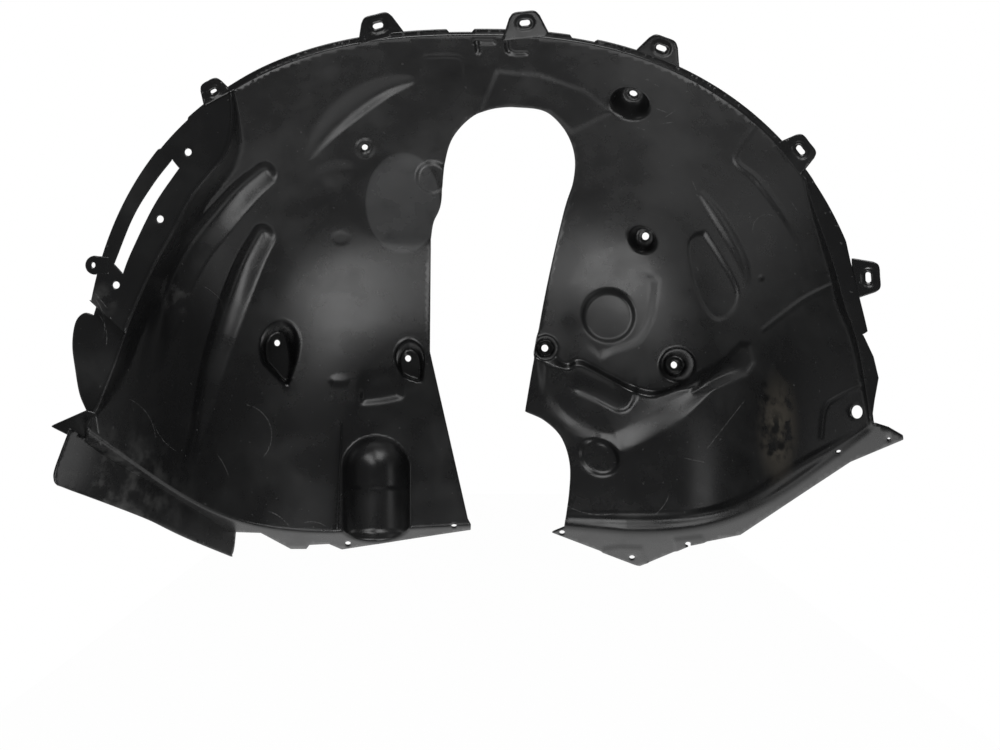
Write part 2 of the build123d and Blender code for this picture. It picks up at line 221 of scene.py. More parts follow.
def soft_max(a, b, soft):
    share = np.clip(0.5 + 0.5 * (a - b) / soft, 0, 1)
    return b + (a - b) * share + soft * share * (1 - share)


def soft_min(a, b, soft):
    return -soft_max(-a, -b, soft)


def lip_depth(across, up, plane):
    height, rise, fall = plane
    return (height - up + rise * across) / (fall + (up - rise * across) / EYE)


def column_depth(across, up):
    depth = np.full(len(across), COLUMN_DEPTH)
    for _ in range(5):
        spread = 1 + depth / EYE
        side = across * spread - COLUMN_X
        above = np.maximum(up * spread - COLUMN_TOP, 0)
        left = COLUMN_R ** 2 - side ** 2 - above ** 2
        depth = COLUMN_DEPTH + np.sqrt(np.maximum(left, 0))
    return np.where(left > 0, depth, -100.0)


def plane_through(corners):
    across, up = sight(corners)
    points = lift(corners, bowl_depth(across, up))
    middle = points.mean(0)
    return middle, np.linalg.svd(points - middle)[2][2]


FACET_POINT, FACET_NORMAL = plane_through(FACET_SPOTS)


def facet_depth(across, up):
    start = np.stack([across, np.full(len(across), RIM_Y), up], 1)
    run = np.stack([across / EYE, np.ones(len(across)), up / EYE], 1)
    return (FACET_POINT - start) @ FACET_NORMAL / (run @ FACET_NORMAL)


def face_depth(places):
    across, up = sight(places)
    depth = bowl_depth(across, up)
    cut = facet_depth(across, up)
    depth = np.where(cut > 20, soft_min(depth, cut, FACET_SOFT), depth)
    depth = soft_max(depth, column_depth(across, up), COLUMN_SOFT)
    depth = soft_min(depth, wall_depth(across, up, LEFT_EDGE, -1), LEFT_SOFT)
    depth = soft_min(depth, wall_depth(across, up, RIGHT_EDGE, 1), RIGHT_SOFT)
    left = across < BETWEEN_LIPS_X
    lip = np.where(left, lip_depth(across, up, LEFT_LIP), lip_depth(across, up, RIGHT_LIP))
    return soft_max(depth, lip, np.where(left, LEFT_LIP_SOFT, RIGHT_LIP_SOFT))


def face_points(places):
    return lift(places, face_depth(places))


def face_normal(places):
    step_x, step_y = np.array([0.7, 0]), np.array([0, 0.7])
    side = face_points(places + step_x) - face_points(places - step_x)
    rise = face_points(places - step_y) - face_points(places + step_y)
    normal = np.cross(rise, side)
    normal /= np.linalg.norm(normal, axis=1)[:, None]
    away = np.einsum("ij,ij->i", normal, lift(places, np.zeros(len(places))) - [0, RIM_Y - EYE, 0])
    return normal * np.sign(away)[:, None]


print("fold", face_depth(spots((300, 500), (300, 540), (700, 500), (700, 535))).round(1))

# %% [markdown]
# ## Pressed relief
# Beads, pads and steps are pressed into the sheet. Each is a distance to a line or
# to an outline, turned into a height by a smooth ramp. Heights are along the
# sheet's own normal, so a bead on the steep side is as deep as one on the wall.
# A positive height is pressed away from the wheel, a negative one stands towards it.

# %% Distances and ramps
def away_from(places, line):
    best = np.full(len(places), 1e9)
    along = np.zeros(len(places))
    lengths = np.linalg.norm(np.diff(line, axis=0), axis=1)
    start = np.concatenate([[0], np.cumsum(lengths)])
    for n, length in enumerate(lengths):
        if length == 0:
            continue
        run = (line[n + 1] - line[n]) / length
        t = np.clip((places - line[n]) @ run, 0, length)
        gap = np.linalg.norm(places - line[n] - t[:, None] * run, axis=1)
        nearer = gap < best
        best = np.where(nearer, gap, best)
        along = np.where(nearer, start[n] + t, along)
    return best, along / start[-1]


def within(places, loop):
    inside = np.zeros(len(places), bool)
    x, y = places[:, 0], places[:, 1]
    for (x0, y0), (x1, y1) in zip(loop, np.roll(loop, -1, 0)):
        if y0 != y1:
            crosses = (y0 > y) != (y1 > y)
            inside ^= crosses & (x < x0 + (y - y0) * (x1 - x0) / (y1 - y0))
    return inside


def ramp(value, start, stop):
    t = np.clip((value - start) / (stop - start), 0, 1)
    return t * t * (3 - 2 * t)


def closed_line(loop):
    return np.concatenate([loop, loop[:1]])


def inside_gap(places, loop):
    gap, _ = away_from(places, closed_line(loop))
    return np.where(within(places, loop), gap, -gap)


def pressed_groove(places, line, halves, depths):
    line = smooth_line(line, 4.0)
    gap, along = away_from(places, line)
    share = np.linspace(0, 1, len(halves))
    half = np.interp(along, share, halves)
    deep = np.interp(along, share, depths)
    t = np.clip(gap / half, 0, 1)
    return deep * (1 - t * t) ** 1.5


def pressed_pad(places, loop, height, soft):
    return height * ramp(inside_gap(places, loop), -soft / 2, soft / 2)


def oval(x, y, half_x, half_y, turn=0, count=48):
    angle = np.linspace(0, 2 * math.pi, count, endpoint=False)
    a, b = half_x * np.cos(angle), half_y * np.sin(angle)
    c, s = math.cos(math.radians(turn)), math.sin(math.radians(turn))
    return np.stack([x + a * c - b * s, y + a * s + b * c], 1)


print("helpers ready")

# %% [markdown]
# ## The list of pressed shapes
# Two long beads stiffen the left side, a crescent and a hook lie on the shoulders,
# a round pad, a wide plateau and an oval stand on the wall right of the opening,
# and several faint steps break up the large faces.

# %% Beads, crescent and hook
GROOVES = (
    (
        spots(
            (265, 174), (244, 192), (220, 219), (199, 245), (187, 265), (176, 288), (163, 325),
            (150, 370), (140, 405),
        ),
        (13, 15, 16, 16, 16, 16, 15, 13, 10),
        (7, 8, 8, 8, 7, 4, 1.2, 0.4, 0),
    ),
    (
        spots(
            (263, 236), (249, 263), (235, 299), (224, 332), (214, 363), (204, 404), (195, 441),
            (186, 472),
        ),
        (13, 14.5, 15, 14, 12.5, 10.5, 7.5, 5),
        (7, 8, 8, 8, 7, 4.5, 2, 0),
    ),
    (
        spots((702, 195), (718, 217), (733, 241), (744, 264), (748, 285)),
        (4, 7, 7, 6, 4),
        (0.8, 1.4, 1.4, 1, 0),
    ),
    (
        spots((754, 128), (735, 158), (757, 180), (788, 222), (806, 262)),
        (3, 3, 4, 4, 3),
        (0.3, 0.8, 1, 0.8, 0),
    ),
    (spots((763, 330), (785, 313), (808, 297), (845, 279)), (2.5, 3, 3, 2.5), (0.4, 0.7, 0.7, 0.4)),
    (spots((475, 42.5), (493.5, 42.5)), (1.8, 1.8), (2.2, 2.2)),
    (spots((476.7, 42.5), (478, 52)), (2.0, 2.0), (2.6, 2.6)),
    (spots((506.6, 42), (507, 48), (511, 53), (526, 53.5)), (2.0, 2.0, 1.8), (2.6, 2.6, 2.0)),
    (spots((426, 56.5), (452, 56), (463, 60), (465.5, 76)), (2.5, 2.5, 2.5), (-0.35, -0.4, -0.25)),
    (
        spots((566, 517), (640, 519), (700, 515), (745, 501), (800, 466), (850, 437), (866, 428)),
        (6, 7, 7, 7, 7, 6, 4),
        (-1.5, -2.4, -2.4, -2.2, -2, -1.5, 0),
    ),
    (spots((866, 384), (840, 396), (825, 408), (821, 437)), (3, 3, 3), (0.6, 1, 0.8)),
)
print("grooves", len(GROOVES))

# %% [markdown]
# Pads and steps have an outline, a height and a soft width. They could be separate
# plates laid on the sheet, but a moulding has no such joints, so they only move it.

# %% Pads and steps
PADS = (
    (oval(609, 315, 25.5, 25.5), -3.4, 6),
    (oval(340.6, 238, 8, 6), -0.3, 4),
    (oval(339, 381, 8, 4), 1.2, 7),
    (oval(336, 173, 17, 8, -8), 1.0, 15),
    (oval(761, 278, 1.8, 1.8), 1.2, 2),
    (oval(599, 457, 20, 16, 35), -3.2, 6),
    (spots((346, 488), (406, 488), (404, 531), (350, 531)), -1.4, 4),
    (spots((694, 392), (712, 374), (741, 344), (750, 345), (754, 362), (747, 373), (718, 386)), -1.6, 5),
    (spots((604, 548), (620, 546), (642, 547), (647, 563), (636, 566), (600, 554)), -1.2, 3),
    (spots((674, 539), (702, 536), (706, 545), (676, 553)), -1.2, 3),
    (
        smooth_line(
            spots(
                (704, 232), (722, 260), (737, 288), (735, 306), (724, 318), (713, 317), (702, 302),
                (693, 278), (688, 248), (693, 236), (704, 232),
            ),
            4.0,
        )[:-1],
        -1.2,
        4,
    ),
    (spots((480, 113), (497, 71), (540, 75), (585, 91), (612, 112), (572, 132), (550, 112), (510, 106)),
     -0.9, 7),
    (oval(432, 177, 15, 15), -1.8, 4),
)


PLATEAU_HEIGHT, CREST_HEIGHT, BROW_HEIGHT = 5.0, 3.5, 2.4


def along_x(places, line):
    line = smooth_line(line, 4.0)
    return np.interp(places[:, 0], line[:, 0], line[:, 1])


def plateau(places):
    x, y = places[:, 0], places[:, 1]
    upper = along_x(places, spots((536, 352), (556, 362), (568, 366), (580, 362), (607, 375), (633, 388),
                                  (655, 393), (682, 385), (720, 372), (756, 358)))
    inner = along_x(places, spots((533, 372), (551, 392), (566, 410), (596, 431), (605, 433), (615, 432),
                                  (650, 413), (688, 393), (712, 381), (754, 362)))
    outer = along_x(places, spots((533, 384), (538, 401), (563, 424), (582, 437), (615, 450), (634, 447),
                                  (682, 420), (716, 388), (754, 368)))
    ends = ramp(x, 534, 548) * (1 - ramp(x, 716, 752))
    wide = 3 + 12 * ramp(x, 675, 715) + 8 * ramp(-x, -565, -545)
    rise = ramp(y, upper - wide, upper + wide)
    share = np.clip((y - inner) / np.maximum(outer - inner, 4), 0, 1)
    fall = 1 - 0.6 * share - 0.4 * ramp(share, 0, 1)
    brow = along_x(places, spots((566, 386), (574, 390), (603, 403), (618, 410), (628, 408), (635, 400),
                                 (642, 396)))
    brow_ends = ramp(x, 568, 580) * (1 - ramp(x, 631, 641))
    brow_share = (1 - ramp(y - brow, -2.5, 3.0)) * ramp(y - brow, -24, -6) * brow_ends
    above = 1 - np.clip((y - upper) / np.maximum(inner - upper, 8), 0, 1)
    crest = PLATEAU_HEIGHT + CREST_HEIGHT * above
    return -crest * ends * rise * fall - BROW_HEIGHT * brow_share


def disc_ledge(places):
    ledge = smooth_line(spots((655, 280), (653, 300), (648, 322), (636, 340), (612, 350), (600, 357)), 4.0)
    loop = np.concatenate([ledge, spots((575, 330), (585, 275), (625, 258))])
    soft = 7 + 30 * ramp(away_from(places, ledge)[0], 6, 30)
    return -2.0 * ramp(inside_gap(places, loop), -soft / 2, soft / 2)


CRESCENT_SPOTS = spots((307, 161), (328, 135), (355, 111), (386, 91), (416, 80))


def crescent(places):
    line = smooth_line(CRESCENT_SPOTS, 4.0)
    gap, along = away_from(places, line)
    below = places[:, 1] > np.interp(places[:, 0], line[:, 0], line[:, 1])
    middle = np.sin(math.pi * along) ** 0.8
    half = np.where(below, 3 + 6 * middle, 5 + 15 * middle)
    t = np.clip(gap / half, 0, 1)
    return 3.0 * middle * (1 - t * t) ** 1.5


def arch_ledge(places):
    x, y = places[:, 0], places[:, 1]
    edge = along_x(places, spots((350, 404), (362, 403), (381, 401), (402, 397), (412, 395)))
    ends = ramp(x, 356, 366) * (1 - ramp(x, 396, 407))
    return -4.0 * (1 - ramp(y - edge, -4.0, 4.0)) * ramp(y - edge, -34, -8) * ends


def boss_ring(places):
    gap = np.linalg.norm(places - [365, 148], axis=1)
    return -1.0 * ramp(gap, 4.5, 6) * (1 - ramp(gap, 8, 10))


def relief(places):
    height = np.zeros(len(places))
    for line, halves, depths in GROOVES:
        height += pressed_groove(places, line, halves, depths)
    for loop, stand, soft in PADS:
        height += pressed_pad(places, loop, stand, soft)
    for shape in (plateau, disc_ledge, crescent, arch_ledge, boss_ring):
        height += shape(places)
    return height


print("pads", len(PADS))

# %% [markdown]
# ## Screw cups and hooded pockets
# A screw cup is a small cone with a flat floor and a hole, sunk along its own axis.
# It could be cut in with a boolean, which leaves a hard edge: moving the points of
# the sheet keeps the wall's thickness and gives a rounded mouth. The hooded pockets
# have an arched mouth and a smaller leaf-shaped floor, and face the wheel squarely.

# %% Cups and hoods
def centre_on_face(x, y):
    place = spots((x, y))
    return face_points(place)[0], face_normal(place)[0]


roof_mouth, roof_axis = centre_on_face(630, 104)
middle_mouth, _ = centre_on_face(642, 240)
middle_axis = np.array([0.34, 0.88, 0.33]) / np.linalg.norm([0.34, 0.88, 0.33])
straight_in = np.array([0.0, 1.0, 0.0])
outer_mouth = np.array([218.0, 223.0 + RIM_Y, -12.6])
edge_mouth = np.array([76.4, WALL_DEPTH + RIM_Y, 6.1])
CUPS = (
    (roof_mouth, roof_axis, 20.5, 9.5, 15.0, 4.6),
    (middle_mouth, middle_axis, 16.5, 8.5, 14.0, 4.4),
    (outer_mouth, straight_in, 19.0, 9.5, 15.0, 4.4),
    (edge_mouth, straight_in, 13.5, 9.5, 16.0, 4.4),
)


def ring_spots(mouth, axis, radius, count=40):
    side = np.cross(axis, [0.0, 0.3, 1.0])
    side /= np.linalg.norm(side)
    over = np.cross(axis, side)
    angle = np.linspace(0, 2 * math.pi, count, endpoint=False)[:, None]
    return spot_of(mouth + radius * (np.cos(angle) * side + np.sin(angle) * over))


def sink_cups(points):
    for mouth, axis, wide, floor, deep, hole in CUPS:
        run = (points - mouth) @ axis
        gap = np.linalg.norm(points - mouth - run[:, None] * axis, axis=1)
        near = (gap < wide + 3) & (np.abs(run) < 40)
        share = 1 - ramp(gap, floor - 0.5, wide + 1)
        collar = 1.4 * ramp(gap, hole + 0.3, hole + 1) * (1 - ramp(gap, hole + 2.6, hole + 3.4))
        moved = run + (deep - run) * share - collar
        points[near] += ((moved - run)[:, None] * axis)[near]
    return points


HOODS = (
    (
        spots((262, 362), (259, 346), (263, 331), (273, 321), (284, 319), (296, 326), (301, 340), (299, 357),
              (293, 373), (287, 386), (273, 374)),
        spots((267, 361), (266, 346), (270, 337), (277, 333), (284, 337), (287, 347), (289, 362), (287, 380),
              (276, 370)),
        238.0,
        (277.0, 343.0),
    ),
    (
        spots((397, 368), (394, 355), (397, 345), (404, 339), (412, 338), (420, 343), (425, 352), (425, 366),
              (422, 381), (411, 380), (403, 376)),
        spots((402, 373), (401, 361), (404, 354), (409, 351), (415, 353), (419, 360), (420, 378), (411, 377)),
        262.0,
        (408.2, 358.5),
    ),
)


def smooth_loop(loop):
    return smooth_line(closed_line(loop), 2.5)[:-1]


def hood_depth(places, depth):
    for mouth, floor, deep, _ in HOODS:
        outer = np.maximum(inside_gap(places, smooth_loop(mouth)), 0)
        inner = np.maximum(-inside_gap(places, smooth_loop(floor)), 0)
        share = outer / np.maximum(outer + inner, 1e-6)
        depth = depth + (np.maximum(deep, depth) - depth) * ramp(share, 0.0, 1.0)
    return depth


print("cups", len(CUPS), "hoods", len(HOODS))

# %% [markdown]
# ## Filling an outline with points
# A sheet is an outline with holes, filled with triangles. A grid that is fine where
# the relief is and coarse where the face is plain keeps the count down. Delaunay
# triangulation with the outlines as fixed edges makes even triangles from any such
# set of points.

# %% Triangles in an outline
def hex_grid(low, high, step):
    rows = []
    for n, y in enumerate(np.arange(low[1], high[1], step * 0.866)):
        x = np.arange(low[0] + (n % 2) * step / 2, high[0], step)
        rows.append(np.stack([x, np.full(len(x), y)], 1))
    return np.concatenate(rows)


def clear_of(places, line_points, gap):
    keep = np.ones(len(places), bool)
    for start in range(0, len(places), 2000):
        part = places[start:start + 2000]
        square = ((part[:, None, :] - line_points[None, :, :]) ** 2).sum(2).min(1)
        keep[start:start + 2000] = square > gap * gap
    return keep


def fill_outline(outline, holes, inner):
    loops = [outline] + list(holes)
    border = np.concatenate(loops)
    edges = []
    first = 0
    for loop in loops:
        count = len(loop)
        edges += [(first + n, first + (n + 1) % count) for n in range(count)]
        first += count
    every = np.concatenate([border, inner])
    made = delaunay_2d_cdt([Vector(p) for p in every], edges, [], 0, 1e-4)
    flat = np.array([(p.x, p.y) for p in made[0]])
    triangles = np.array([f for f in made[2] if len(f) == 3])
    middle = flat[triangles].mean(1)
    keep = within(middle, outline)
    for hole in holes:
        keep &= ~within(middle, hole)
    return flat, triangles[keep]


def inner_points(outline, holes, step, gap):
    grid = hex_grid(outline.min(0), outline.max(0), step)
    keep = within(grid, outline)
    for hole in holes:
        keep &= ~within(grid, hole)
    grid = grid[keep]
    return grid[clear_of(grid, np.concatenate([outline] + list(holes)), gap)]


def filled(outline, holes, step, gap):
    return fill_outline(outline, holes, inner_points(outline, holes, step, gap))


print("filling ready")

# %% [markdown]
# ## Giving the sheet its thickness
# The back is the face moved along its smoothed normals. A moulded edge is never
# sharp, so round every border a half round bead of small faces joins face and back.
# A few values are kept on the points for the finish: the place on the sheet, and
# whether the point is on the face or on the back.

# %% Thick sheets
SHEET_THICK, TAB_THICK, RIB_THICK = 2.6, 2.4, 2.0
TO_BACK = (0, 1, 0)
MM = 0.001
PLACE_UNIT = 100
ROUND_EDGE = ((0.12, 0.26), (0.5, 0.42), (0.88, 0.26))


def unit(rows):
    return rows / np.maximum(np.linalg.norm(rows, axis=1), 1e-9)[:, None]


def point_normals(points, triangles):
    a, b, c = (points[triangles[:, n]] for n in range(3))
    facing = np.cross(b - a, c - a)
    total = np.zeros_like(points)
    for n in range(3):
        np.add.at(total, triangles[:, n], facing)
    return unit(total)


def smooth_normals(normals, triangles, rounds):
    for _ in range(rounds):
        total = normals.copy()
        for n in range(3):
            np.add.at(total, triangles[:, n], normals[triangles[:, (n + 1) % 3]])
        normals = unit(total)
    return normals


def border_edges(triangles):
    pairs = np.concatenate([triangles[:, [0, 1]], triangles[:, [1, 2]], triangles[:, [2, 0]]])
    key = np.sort(pairs, 1)
    _, where, count = np.unique(key, axis=0, return_index=True, return_counts=True)
    return pairs[where[count == 1]]


def thick_sheet(name, points, triangles, thick, back, places, smooth=2):
    normals = point_normals(points, triangles)
    if np.einsum("ij,ij->i", normals, np.broadcast_to(back, normals.shape)).sum() > 0:
        triangles = triangles[:, ::-1]
        normals = -normals
    inward = smooth_normals(-normals, triangles, smooth)
    edges = border_edges(triangles)
    rim = np.unique(edges)
    out = np.zeros_like(points)
    for n in range(2):
        np.add.at(out, edges[:, n], np.cross(points[edges[:, 1]] - points[edges[:, 0]], -inward[edges[:, n]]))
    out = unit(out[rim])
    count = len(points)
    layers = [points, points + inward * thick]
    rows = [np.full(count, -1)]
    rows[0][rim] = rim
    for n, (down, wide) in enumerate(ROUND_EDGE):
        layers.append(points[rim] + inward[rim] * thick * down + out * thick * wide)
        row = np.full(count, -1)
        row[rim] = 2 * count + n * len(rim) + np.arange(len(rim))
        rows.append(row)
    rows.append(np.where(rows[0] >= 0, np.arange(count) + count, -1))
    faces = triangles.tolist() + (triangles[:, ::-1] + count).tolist()
    for upper, lower in zip(rows, rows[1:]):
        a, b = edges[:, 0], edges[:, 1]
        faces += np.stack([upper[b], upper[a], lower[a], lower[b]], 1).tolist()
    mesh = bpy.data.meshes.new(name)
    mesh.from_pydata((np.concatenate(layers) * MM).tolist(), [], faces)
    mesh.shade_smooth()
    place = np.concatenate([places, places] + [places[rim]] * len(ROUND_EDGE))
    front = np.concatenate([np.ones(count), np.zeros(count)] + [np.ones(len(rim))] * len(ROUND_EDGE))
    keep = mesh.attributes.new("place", "FLOAT_VECTOR", "POINT")
    keep.data.foreach_set("vector", np.column_stack([place, np.zeros(len(place))]).ravel() / PLACE_UNIT)
    mesh.attributes.new("front", "FLOAT", "POINT").data.foreach_set("value", front)
    piece = bpy.data.objects.new(name, mesh)
    bpy.context.scene.collection.objects.link(piece)
    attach(piece, "root")
    print(name, len(mesh.vertices), "points", len(mesh.polygons), "faces")
    return piece


print("rounded edge in", len(ROUND_EDGE) + 1, "steps")

# %% [markdown]
# ## The main sheet
# The bowl, its wall and both lips are one sheet. Its outline follows the rim, the
# inner edges of the flanges, the lower edges of the lips, and goes up and round the
# suspension opening in the middle.

# %% Outline of the main sheet
RIM_MIDDLE, RIM_FOOT = 480.0, 430.0
RIM_HALF, RIM_TALL = 392.0, 394.0
RIM_LEFT_X, RIM_RIGHT_X = 231.5, 805.0


def rim_spot(x):
    side = x - RIM_MIDDLE
    power = LEFT_POWER if side < 0 else RIGHT_POWER
    return RIM_FOOT - RIM_TALL * (1 - (abs(side) / RIM_HALF) ** power) ** (1 / power)


def between(line, top, bottom):
    return line[(line[:, 1] >= top) & (line[:, 1] < bottom)]


def nearer_eye(line, depth):
    return CENTRE_SPOT + (line - CENTRE_SPOT) / (1 + depth / EYE)


LEFT_TOP, RIGHT_TOP = rim_spot(RIM_LEFT_X) + 2, rim_spot(RIM_RIGHT_X) + 3
FLANGE_FOOT = 332
rim_line = np.array([(x, rim_spot(x)) for x in np.linspace(RIM_LEFT_X, RIM_RIGHT_X, 260)])
left_up = between(LEFT_EDGE, LEFT_TOP, FLANGE_FOOT)
left_low = nearer_eye(between(LEFT_EDGE, FLANGE_FOOT, 417), 8.0)
right_down = between(RIGHT_EDGE, RIGHT_TOP, 421)
lip_right = spots((872, 424), (888, 429), (902, 437), (902.5, 440), (850, 462), (800, 495), (740, 535),
                  (690, 545), (640, 566), (553, 533))
opening = np.concatenate([
    smooth_line(spots((565, 528), (570, 493), (570.5, 463), (562, 437), (545, 420), (526, 411)), 2.5),
    smooth_line(spots((526, 411), (545, 300), (564, 215), (574, 182), (575, 155), (565, 130), (545, 111),
                      (518, 107), (492, 108.4), (470, 118), (451, 140), (443, 170), (440, 205),
                      (432.8, 223), (430, 240)), 2.5)[1:],
    spots((429, 352), (467, 519)),
])
lip_left = spots((470, 525), (470, 530), (443, 534), (342, 549.5), (329, 544), (309, 545), (306, 549),
                 (291, 549), (261, 533), (231, 532), (227, 531.5), (190, 509), (136, 475), (102, 453.5),
                 (86, 441), (89, 428))


def dense(line, step):
    parts = []
    for a, b in zip(line, line[1:]):
        count = max(1, int(np.ceil(np.linalg.norm(b - a) / step)))
        parts.append(a + (b - a) * (np.arange(count) / count)[:, None])
    return np.concatenate(parts + [line[-1:]])


def closed(*lines, step=2.5, least=0.4):
    loop = dense(np.concatenate(list(lines) + [lines[0][:1]]), step)[:-1]
    gap = np.linalg.norm(loop - np.roll(loop, 1, 0), axis=1)
    return loop[gap > least]


sheet_outline = closed(left_low, left_up, rim_line, right_down, lip_right, opening, lip_left)
print("outline", len(sheet_outline), "points")

# %% Holes of the main sheet
def lip_hole(x, y, half_x=3.6, half_y=2.6):
    return oval(x, y, half_x, half_y, count=22)


sheet_holes = [ring_spots(mouth, axis, hole, 28) for mouth, axis, _, _, _, hole in CUPS]
sheet_holes += [oval(x, y, 3.7, 4.0, count=26) for _, _, _, (x, y) in HOODS]
sheet_holes.append(oval(365, 148, 3.7, 3.7, count=24))
sheet_holes.append(oval(856, 412, 6.6, 7.6, count=36))
sheet_holes += [lip_hole(x, y) for x, y in ((348, 544), (454, 526), (562, 533), (632, 557), (688, 543.5))]
sheet_holes += [lip_hole(838, 452), lip_hole(889, 439.5, 2.6, 2.0)]
print("holes", len(sheet_holes))

# %% [markdown]
# A fold or a bead needs points about 2 mm apart to look round, and the plain face
# between them doesn't. So two grids are laid, and each keeps its own part.

# %% Points of the main sheet
COARSE_STEP, FINE_STEP = 4.2, 2.0
FINE_LINES = [(line, max(halves) + 4) for line, halves, _ in GROOVES]
FINE_LINES += [(closed_line(loop), soft + 3) for loop, _, soft in PADS]
FINE_LINES += [
    (LEFT_EDGE, 9), (RIGHT_EDGE, 9),
    (spots((96, 434), (111, 451), (149, 474), (206, 504), (254, 526), (345, 536), (395, 535), (468, 519)), 9),
    (spots((565, 528), (640, 527), (720, 525), (780, 495), (830, 458), (870, 428)), 9),
    (spots((341, 450), (346, 500), (350, 530)), 8), (spots((411, 450), (405, 500), (402, 530)), 8),
    (spots((345, 460), (380, 434), (411, 460)), 10), (spots((361, 402), (401, 398)), 10),
    (spots((446, 138), (403, 163), (369, 203), (366, 226), (383, 252), (430, 224)), 7),
    (CRESCENT_SPOTS, 12),
]
FINE_SPOTS = ((282, 350, 36), (409, 358, 28), (630, 104, 27), (642, 240, 25), (670, 362, 25),
              (545, 347, 18), (365, 148, 14), (609, 315, 34), (630, 400, 48), (560, 385, 42),
              (700, 385, 36), (379, 386, 26))


def is_fine(places):
    fine = np.zeros(len(places), bool)
    for line, reach in FINE_LINES:
        fine |= away_from(places, line)[0] < reach
    for x, y, reach in FINE_SPOTS:
        fine |= np.linalg.norm(places - [x, y], axis=1) < reach
    return fine


coarse = inner_points(sheet_outline, sheet_holes, COARSE_STEP, 1.6)
coarse = coarse[~is_fine(coarse)]
fine = inner_points(sheet_outline, sheet_holes, FINE_STEP, 1.0)
fine = fine[is_fine(fine)]
print("coarse", len(coarse), "fine", len(fine))

# %% Lift the main sheet
flat, triangles = fill_outline(sheet_outline, sheet_holes, np.concatenate([coarse, fine]))
depth = hood_depth(flat, face_depth(flat))
points = lift(flat, depth) + face_normal(flat) * relief(flat)[:, None]
points = sink_cups(points)
shell = thick_sheet("liner_shell", points, triangles, SHEET_THICK, TO_BACK, flat, 3)
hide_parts("arch_liner")

# %% [markdown]
# ## Rim strip and flange
# A flat strip runs round the mouth, a little behind its edge, so the sheet's rounded
# edge stands out as a thin line, and it flares a little towards the eye. On the left
# it widens into the flange with the air slot. Its outer line has small steps, where
# the mould's slides met. It could be part of the main sheet, but a height field
# can't turn such a sharp corner, so it is a sheet of its own that laps the edge.

# %% Rim strip
STRIP_DEPTH, STRIP_FLARE = 0.7, 0.36


def strip_out(line, wide):
    run = np.gradient(line, axis=0)
    side = np.stack([run[:, 1], -run[:, 0]], 1)
    return line + side / np.linalg.norm(side, axis=1)[:, None] * np.asarray(wide)[:, None]


rim_turn = np.linspace(0.02, math.pi - 0.32, 420)
whole_rim = np.array([(x, rim_spot(x)) for x in RIM_MIDDLE - RIM_HALF * np.cos(rim_turn)])
whole_rim = whole_rim[whole_rim[:, 1] < 303]
wide = np.full(len(whole_rim), 6.0)
for start, stop, narrow in ((447, 474, 3.0), (570, 596, 3.2), (163, 192, 4.4)):
    wide[(whole_rim[:, 0] > start) & (whole_rim[:, 0] < stop)] = narrow
rim_out = strip_out(whole_rim, wide)
rim_out = rim_out[rim_out[:, 0] < 846]
right_strip = spots((850, 262), (857, 290), (864, 318), (867, 331), (862, 334), (865, 340), (873, 357),
                    (878, 378), (874, 400), (871.5, 418))
right_in = between(RIGHT_EDGE, RIGHT_TOP, 419)
left_in = between(LEFT_EDGE, LEFT_TOP, FLANGE_FOOT + 1)
strip_in = np.concatenate([left_in, rim_line, right_in])
strip_outline = closed(strip_in, right_strip[::-1], rim_out[::-1], spots((90, 300), (103, 312)))
air_slot = closed(
    smooth_line(spots((172, 158), (152, 184), (132, 217), (113, 264)), 2.5),
    smooth_line(spots((123, 275), (132, 252), (155, 205), (180, 168)), 2.5),
)
strip_holes = [air_slot] + [oval(x, y, 4.4, 4.6, count=26) for x, y in ((188, 152), (160, 219), (116, 285))]
flat, triangles = filled(strip_outline, strip_holes, 3.0, 1.4)
flare = STRIP_FLARE * np.minimum(away_from(flat, rim_line)[0], 6.5) * ramp(flat[:, 0], 225, 262)
thick_sheet("rim_strip", lift(flat, STRIP_DEPTH - flare), triangles, TAB_THICK, TO_BACK, flat)

# %% [markdown]
# ## Ear, shelf and flap
# Under the flange a small ear sits a step further back. Below it a shelf closes the
# front corner, and a flap hangs from the left lip's outer edge and swings back. Each
# is a plain sheet in its own plane, so an outline and a tilt are enough.

# %% Ear
EAR_DEPTH = 8.2

ear_outline = closed(
    smooth_line(
        spots((94, 316), (84, 314), (76, 323), (73, 345), (76, 370), (80, 393), (86, 408), (92, 420)), 2.5
    ),
    nearer_eye(between(LEFT_EDGE, FLANGE_FOOT - 1, 421), 4.0),
    spots((124, 327), (108, 309), (98, 303), (96, 310)),
)
flat, triangles = filled(ear_outline, [], 3.0, 1.4)
thick_sheet("ear", lift(flat, np.full(len(flat), EAR_DEPTH)), triangles, SHEET_THICK, TO_BACK, flat)

# %% Shelf
SHELF_START, SHELF_SLOPE = np.array([86, 413]), np.array([-0.444, 0.922])

shelf_outline = closed(spots((52, 427), (86, 412), (95, 414), (100, 446), (72, 437)))
flat, triangles = filled(shelf_outline, [], 2.0, 0.9)
shelf_depth = 2 + (flat - SHELF_START) @ SHELF_SLOPE
shelf_points = lift(flat, np.maximum(shelf_depth, 1.5))
thick_sheet("shelf", shelf_points, triangles, SHEET_THICK, (0, 1, 0.3), flat)

# %% Flap
FLAP_X, FLAP_TOP, FLAP_SWING, FLAP_LEAN = -386, -74, 0.5, 0.35

